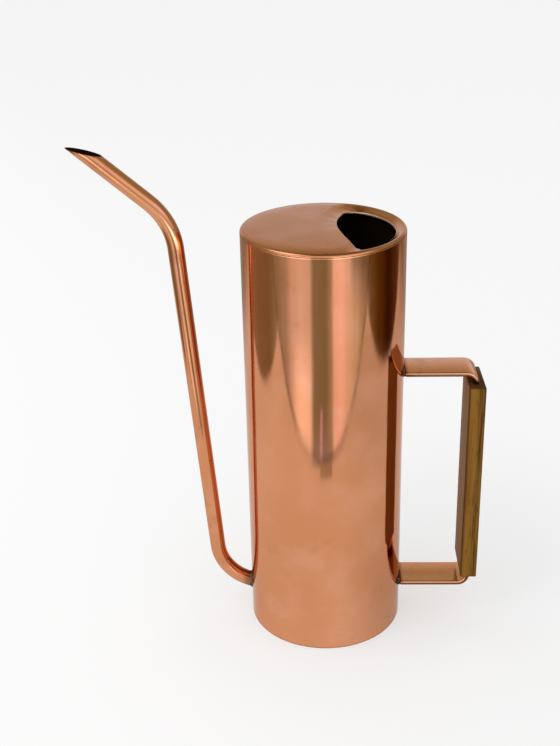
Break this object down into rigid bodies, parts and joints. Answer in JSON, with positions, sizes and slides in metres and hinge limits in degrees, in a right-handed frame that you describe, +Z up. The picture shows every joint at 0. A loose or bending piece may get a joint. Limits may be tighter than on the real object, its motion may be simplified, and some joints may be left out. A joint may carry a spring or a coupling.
{
  "type": "watering can",
  "caption": "Slim cylindrical copper watering can with a pressed half-open cover, a long swan-neck spout and a strap handle with a wooden grip.",
  "frame": {"origin": "on the body's axis at the surface that the can stands on", "axes": "+Z up along the body's axis, +X from the body towards the handle, spout towards -X"},
  "size_m": [0.2381, 0.095, 0.3058],
  "materials": {
    "polished_copper": "polished copper with a light patina",
    "solder": "dull darkened solder",
    "walnut": "oiled open-grain hardwood",
    "glue": "set resin glue"
  },
  "bodies": {
    "root": {"body_shell": "polished_copper", "side_seam_solder": "solder", "top_cover": "polished_copper", "rim_solder": "solder", "base_pan": "polished_copper", "base_solder": "solder", "spout_tube": "polished_copper", "spout_solder": "solder", "upper_strap": "polished_copper", "lower_strap": "polished_copper", "upper_strap_solder": "solder", "lower_strap_solder": "solder", "wooden_grip": "walnut", "upper_tang_glue": "glue", "lower_tang_glue": "glue"}
  },
  "joints": []
}
